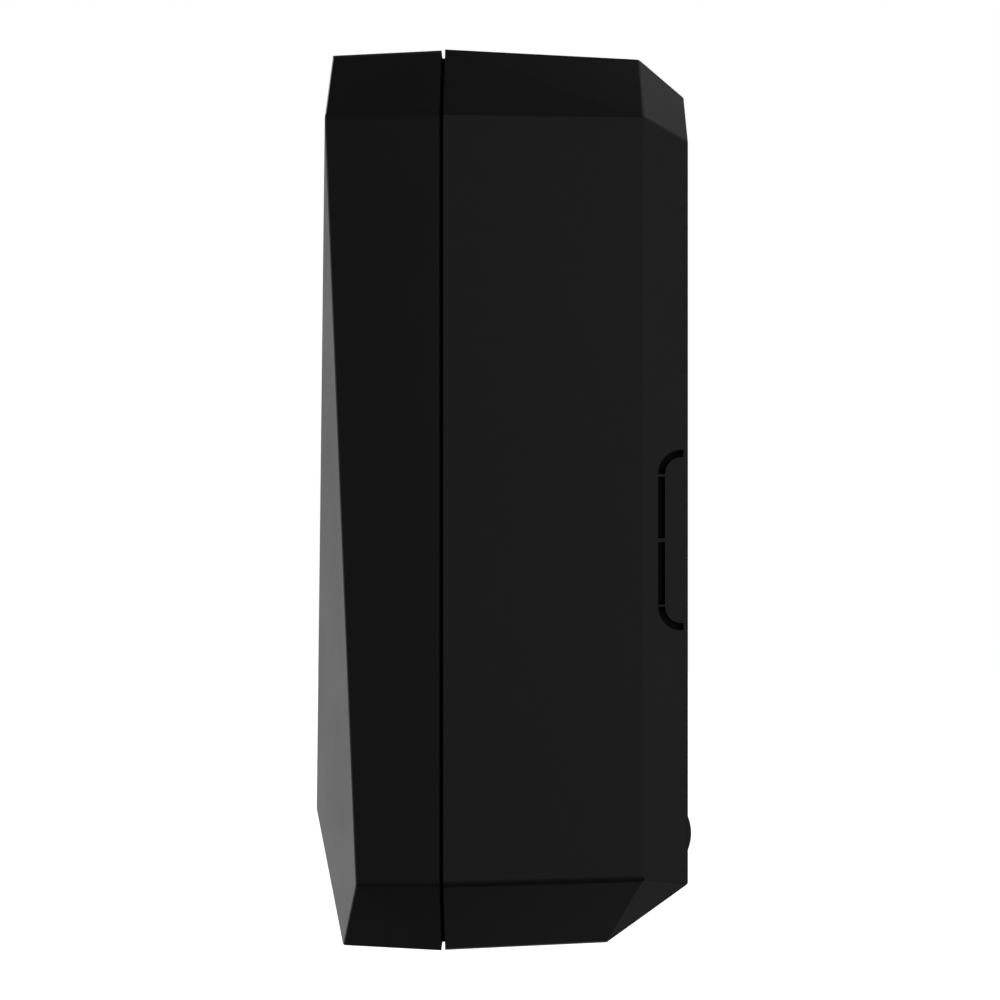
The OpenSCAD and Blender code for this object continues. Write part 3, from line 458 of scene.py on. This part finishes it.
def section(y):
    """Corners of the shells' eight-sided cross-section at a depth, for the right half."""
    side_z = HALF_H - CORNER
    return {"side_top": (HALF_W, y, side_z), "roof": (HALF_W - CORNER, y, HALF_H),
            "side_low": (HALF_W, y, -side_z), "floor": (HALF_W - CORNER, y, -HALF_H)}


def cover_corners():
    corners = {"rim_" + name: p for name, p in section(COVER_RIM_Y).items()}
    corners.update({"far_" + name: p for name, p in section(COVER_RIM_Y + 20 * MM).items()})
    corners["shoulder"] = (HALF_W - 2 * MM, BLADE_Y + 7.2 * MM, HALF_H - 25.4 * MM)
    corners["brow"] = (HALF_W - 26 * MM, BLADE_Y + 8.1 * MM, HALF_H - 1.5 * MM)
    corners["hip"] = (HALF_W - 1.8 * MM, BLADE_Y + 16.9 * MM, -HALF_H + 24.7 * MM)
    corners["chin"] = (HALF_W - 26 * MM, BLADE_Y + 11.35 * MM, -HALF_H + 1.5 * MM)
    return mirrored(corners) + [("tip", Vector((0, BLADE_Y, -HALF_H + 40.6 * MM)))]


def housing_corners():
    corners = {"rim_" + name: p for name, p in section(HOUSING_RIM_Y).items()}
    corners.update({"far_" + name: p for name, p in section(HOUSING_RIM_Y - 8 * MM).items()})
    corners["back_top"] = (HALF_W - 3 * MM, -14.5 * MM, HALF_H - 25.25 * MM)
    corners["back_low"] = (HALF_W - 3 * MM, -14.5 * MM, -HALF_H + 26.3 * MM)
    corners["roof_back"] = (HALF_W - 27 * MM, -14.65 * MM, HALF_H - 2.9 * MM)
    corners["floor_back"] = (HALF_W - 26.2 * MM, -25.3 * MM, -HALF_H + 2.2 * MM)
    corners["pad_top"] = (HALF_W - 30.1 * MM, 0, HALF_H - 14.7 * MM)
    corners["pad_side"] = (HALF_W - 12.5 * MM, 0, HALF_H - 31.6 * MM)
    corners["pad_low"] = (HALF_W - 12.5 * MM, 0, -HALF_H + 23.4 * MM)
    return mirrored(corners)


# Rounding in millimetres of the edge between two named corners; other edges take the last value
COVER_ROUNDING = {
    ("rim_side_top", "shoulder"): 5.0, ("far_side_top", "rim_side_top"): 5.0,
    ("brow", "rim_roof"): 5.0, ("far_roof", "rim_roof"): 5.0,
    ("hip", "rim_side_low"): 1.4, ("far_side_low", "rim_side_low"): 1.4,
    ("chin", "rim_floor"): 1.4, ("far_floor", "rim_floor"): 1.4,
    "other": 1.1,
}
HOUSING_ROUNDING = {
    ("back_top", "rim_side_top"): 0.8, ("far_side_top", "rim_side_top"): 0.8,
    ("rim_roof", "roof_back"): 0.8, ("far_roof", "rim_roof"): 0.8,
    ("back_low", "rim_side_low"): 3.2, ("far_side_low", "rim_side_low"): 3.2,
    ("floor_back", "rim_floor"): 3.2, ("far_floor", "rim_floor"): 3.2,
    ("back_top", "pad_side"): 1.8, ("back_top", "roof_back"): 1.4,
    "other": 1.0,
}
# Each side of an edge is cut back by this share of its rounding
CUT_SHARE = 0.5
# A hair outside the plain form, so that flat faces stay those of the plain form
FORM_GROWTH = 1.0002


def rounded_form(name, corners, rounding):
    """Convex solid through the corners, with its own rounding on every edge."""
    shape = bmesh.new()
    label = {}
    for corner_name, point in corners:
        label[shape.verts.new(point * FORM_GROWTH)] = corner_name
    hull = bmesh.ops.convex_hull(shape, input=shape.verts)
    bmesh.ops.delete(shape, geom=hull["geom_interior"], context="VERTS")
    bmesh.ops.dissolve_limit(shape, angle_limit=math.radians(1.6), verts=shape.verts, edges=shape.edges)
    widest = max(rounding.values())
    weights = shape.edges.layers.float.new("bevel_weight_edge")
    for edge in shape.edges:
        ends = tuple(sorted(label[v] for v in edge.verts))
        skip = all(n.startswith("far_") for n in ends) or all(n.startswith("rim_") for n in ends)
        edge[weights] = 0.0 if skip else rounding.get(ends, rounding["other"]) / widest
    form = place(name, mesh_of(name, shape))
    add_modifier(form, "BEVEL", width=widest * MM * CUT_SHARE, segments=5, limit_method="WEIGHT",
                 use_clamp_overlap=True)
    return form


def settle(piece):
    """Apply the modifiers of a new piece and leave none on it."""
    bpy.context.view_layer.update()
    graph = bpy.context.evaluated_depsgraph_get()
    mesh = bpy.data.meshes.new_from_object(piece.evaluated_get(graph))
    piece.modifiers.clear()
    piece.data = mesh


def welded_copy(node_name, piece_name):
    """New closed mesh with the shape of a CAD node."""
    shape = bmesh.new()
    shape.from_mesh(nodes[node_name].data)
    bmesh.ops.remove_doubles(shape, verts=shape.verts, dist=0.000001)
    bmesh.ops.dissolve_limit(shape, angle_limit=math.radians(0.2), verts=shape.verts, edges=shape.edges)
    return place(piece_name, mesh_of(piece_name, shape))


SHELL_LOOKS = (SHELL_SATIN, SHELL_GRAINED, SHELL_PAINTED_SHADE)
SATIN, GRAINED, RECESS_PAINTED_SHADE = range(3)
SKIN_DEPTH = 0.5 * MM
SLOT_DEPTH = 2.1 * MM
GROOVE_FRONT = HOUSING_RIM_Y - 3.4 * MM
GROOVE_BACK = HOUSING_RIM_Y + 0.1 * MM


def make_shell(node_name, piece_name, body, form):
    """Trim a plain shell to its rounded form; its faces are satin, grained, or, in a recess, painted
    near-black as shade.
    """
    piece = welded_copy(node_name, piece_name)
    settle(form)
    add_modifier(piece, "BOOLEAN", operation="INTERSECT", solver="EXACT", object=form)
    settle(piece)
    outside = BVHTree.FromObject(form, bpy.context.evaluated_depsgraph_get())
    piece.data.materials.clear()
    for material in SHELL_LOOKS:
        piece.data.materials.append(material)
    for face in piece.data.polygons:
        depth = outside.find_nearest(face.center)[3]
        in_groove = GROOVE_FRONT < face.center.y < GROOVE_BACK
        if depth < SKIN_DEPTH:
            face.material_index = SATIN if -0.3 < face.normal.y < 0.2 else GRAINED
        else:
            # Faces in the seam groove, or less than the slot depth inside the skin, take the painted shade
            # finish
            face.material_index = RECESS_PAINTED_SHADE if in_groove or depth < SLOT_DEPTH else GRAINED
        face.use_smooth = True
    piece.data.set_sharp_from_angle(angle=math.radians(28))
    bpy.data.objects.remove(form)
    add_modifier(piece, "WEIGHTED_NORMAL", keep_sharp=True, weight=90)
    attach(piece, body)
    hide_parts(node_name)


# ---------------------------------------------------------------- bottle, spring and wires

def new_piece(name, shape, material, body, replaced):
    """Object from a finished bmesh, riding on a body in place of a CAD node."""
    bmesh.ops.recalc_face_normals(shape, faces=shape.faces)
    mesh = mesh_of(name, shape)
    mesh.materials.append(material)
    mesh.polygons.foreach_set("use_smooth", [True] * len(mesh.polygons))
    mesh.set_sharp_from_angle(angle=math.radians(42))
    piece = place(name, mesh)
    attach(piece, body)
    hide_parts(replaced)
    return piece


def loft(shape, rings):
    """Skin a list of equal rings of points and close both ends."""
    made = [[shape.verts.new(point) for point in ring] for ring in rings]
    for first, second in zip(made, made[1:]):
        for k in range(len(first)):
            following = (k + 1) % len(first)
            shape.faces.new((first[k], first[following], second[following], second[k]))
    shape.faces.new(reversed(made[0]))
    shape.faces.new(made[-1])


def rounded_ring(z, half_x, half_y, power, middle_y, count=96):
    """Ring between an ellipse (power 2) and a rounded box (higher powers)."""
    ring = []
    for k in range(count):
        turn = 2 * math.pi * k / count
        c, s = math.cos(turn), math.sin(turn)
        ring.append(Vector((half_x * math.copysign(abs(c) ** (2 / power), c),
                            middle_y + half_y * math.copysign(abs(s) ** (2 / power), s), z)) * MM)
    return ring


# Height, half sizes, squareness and middle of each ring down the bottle, in millimetres
BOTTLE_RINGS = [
    (87.9, 20, 12, 3.5, -66), (87.8, 33, 22, 4, -66), (87.2, 38, 27, 4.5, -66), (85.8, 41.5, 30.2, 5, -66),
    (83.5, 44, 32.4, 5.2, -66), (80, 45.5, 33.6, 5.5, -66), (76, 45.9, 33.9, 5.5, -66),
    (66, 45.9, 33.9, 5.5, -66), (65, 45.4, 33.4, 5.5, -66), (64, 44.9, 32.9, 5.5, -66),
    (40, 44.8, 32.8, 5.5, -66), (15, 44.8, 32.8, 5.5, -66), (-2, 44.9, 32.9, 5.5, -66),
    (-3, 45.4, 33.4, 5.5, -66), (-4, 45.9, 33.9, 5.5, -66), (-11, 45.9, 33.9, 5.5, -66),
    (-14, 45.0, 33.4, 5.2, -66), (-16, 42.5, 32.2, 4.6, -66), (-18, 38.0, 30.0, 3.8, -65.8),
    (-20, 32.0, 27.0, 3.0, -65.6), (-22, 26.5, 23.8, 2.5, -65.3), (-24, 22.0, 21.0, 2.2, -65.1),
    (-26, 19.4, 19.4, 2, -65), (-28, 19, 19, 2, -65), (-32.8, 19, 19, 2, -65), (-33.1, 20.2, 20.2, 2, -65),
    (-34, 20.5, 20.5, 2, -65), (-34.9, 20.2, 20.2, 2, -65), (-35.2, 19, 19, 2, -65),
    (-51.6, 19, 19, 2, -65), (-52, 18.6, 18.6, 2, -65), (-52, 17.3, 17.3, 2, -65), (-51.4, 17, 17, 2, -65),
    (-28, 17, 17, 2, -65),
]


def make_bottle():
    """Blown bottle with a recessed grip band, round shoulders and an open neck."""
    shape = bmesh.new()
    loft(shape, [rounded_ring(*ring) for ring in BOTTLE_RINGS])
    piece = new_piece("soap_bottle", shape, BOTTLE, "housing", "refill_bottle")
    add_modifier(piece, "WEIGHTED_NORMAL", keep_sharp=True)


def framed(points):
    """Each point of a run, with two directions across the run that twist as little as they can."""
    side = None
    for k, point in enumerate(points):
        ahead = (points[min(k + 1, len(points) - 1)] - points[max(k - 1, 0)]).normalized()
        if side is None:
            side = ahead.orthogonal().normalized()
        side = (side - ahead * side.dot(ahead)).normalized()
        yield point, side, ahead.cross(side)


def tube(shape, points, radius, sides=12):
    """Round tube along a smooth run of points."""
    loft(shape, [[point + radius * (math.cos(2 * math.pi * s / sides) * side
                                    + math.sin(2 * math.pi * s / sides) * up) for s in range(sides)]
                 for point, side, up in framed(points)])


def make_spring():
    """Return spring of the pump, its end coils lying flat."""
    low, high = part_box("pump_spring")
    middle = (low + high) / 2
    wire = 0.5 * MM
    mean = (high.x - low.x) / 2 - wire
    turns, steps = 6, 40
    flat = 0.8
    bottom, top = low.z + wire, high.z - wire
    points = []
    for k in range(turns * steps + 1):
        share = k / (turns * steps)
        lift = min(1.0, max(0.0, (share * turns - flat) / (turns - 2 * flat)))
        turn = 2 * math.pi * k / steps
        points.append(Vector((middle.x + mean * math.cos(turn), middle.y + mean * math.sin(turn),
                              bottom + (top - bottom) * (0.04 * share + 0.96 * lift))))
    shape = bmesh.new()
    tube(shape, points, wire)
    piece = new_piece("return_spring", shape, PLATED, "housing", "pump_spring")
    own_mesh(piece)


# Routes of the wires in millimetres: battery box to board, and supply socket to the first route
MAIN_RUN = [(30.2, -20, 97), (49, -20, 97), (49, -20, -88), (49, -42, -90), (42, -42, -90)]
SOCKET_RUN = [(40, -11.5, -19), (40, -11.5, -30), (49, -20, -42)]
WIRE_RADIUS = 0.68 * MM
TWIST_RADIUS = 0.72 * MM
STEPS_PER_TWIST = 18
# Heights of the tying bands; then a band's profile as height from its middle and radius
TIE_HEIGHTS = (70, 10, -50)
TIE_PROFILE = [(-1.3, 1.62), (-1.2, 1.75), (1.2, 1.75), (1.3, 1.62)]
# Ends along X of the plug's three blocks, and how far each one's sides stand out past the first's
PLUG_BLOCKS = ((37.0, 40.6, 0.0), (40.6, 41.0, -0.5), (41.0, 42.4, 0.0))


def eased_route(corners, radius=2.6, step=1.0):
    """Evenly spaced points along a route whose corners are rounded."""
    corners = [Vector(c) * MM for c in corners]
    radius, step = radius * MM, step * MM
    points = [corners[0]]
    for before, corner, after in zip(corners, corners[1:], corners[2:]):
        come, leave = (corner - before).normalized(), (after - corner).normalized()
        start, end = corner - come * radius, corner + leave * radius
        points += [start.lerp(corner, t).lerp(corner.lerp(end, t), t) for t in (k / 8 for k in range(9))]
    points.append(corners[-1])
    even = [points[0]]
    for first, second in zip(points, points[1:]):
        pieces = max(1, round((second - first).length / step))
        even += [first.lerp(second, (k + 1) / pieces) for k in range(pieces)]
    return even


def add_ties(shape):
    """Bands round the main run of the wires."""
    for z in TIE_HEIGHTS:
        loft(shape, [[Vector((49 + r * math.cos(t), -20 + r * math.sin(t), z + h)) * MM
                      for t in (2 * math.pi * k / 24 for k in range(24))] for h, r in TIE_PROFILE])


def add_plug(shape):
    """Plug of the wires on the board."""
    for x0, x1, grow in PLUG_BLOCKS:
        loft(shape, [[Vector((x, y, z)) * MM for y, z in
                      ((-44 - grow, -93 - grow), (-37.1 + grow, -93 - grow), (-37.1 + grow, -87 + grow),
                       (-44 - grow, -87 + grow))] for x in (x0, x1)])


def make_wires():
    """Red and black wires twisted together; the black piece also carries the bands and the plug."""
    for name, phase, material in (("black_wires", 0.0, WIRE_BLACK), ("red_wires", math.pi, WIRE_RED)):
        shape = bmesh.new()
        for corners in (MAIN_RUN, SOCKET_RUN):
            wire = []
            for k, (point, side, up) in enumerate(framed(eased_route(corners))):
                turn = phase + k * 2 * math.pi / STEPS_PER_TWIST
                wire.append(point + TWIST_RADIUS * (math.cos(turn) * side + math.sin(turn) * up))
            tube(shape, wire, WIRE_RADIUS)
        if name == "black_wires":
            add_ties(shape)
            add_plug(shape)
        piece = new_piece(name, shape, material, "housing", "power_harness")
        add_modifier(piece, "BEVEL", width=0.15 * MM, segments=2, limit_method="ANGLE",
                     angle_limit=math.radians(60))


make_camera()
make_room()
make_key_light()
make_floor()
dress_cad_nodes()
make_shell("front_cover", "cover_shell", "cover",
           rounded_form("cover_form", cover_corners(), COVER_ROUNDING))
make_shell("back_housing", "housing_shell", "housing",
           rounded_form("housing_form", housing_corners(), HOUSING_ROUNDING))
make_bottle()
make_spring()
make_wires()
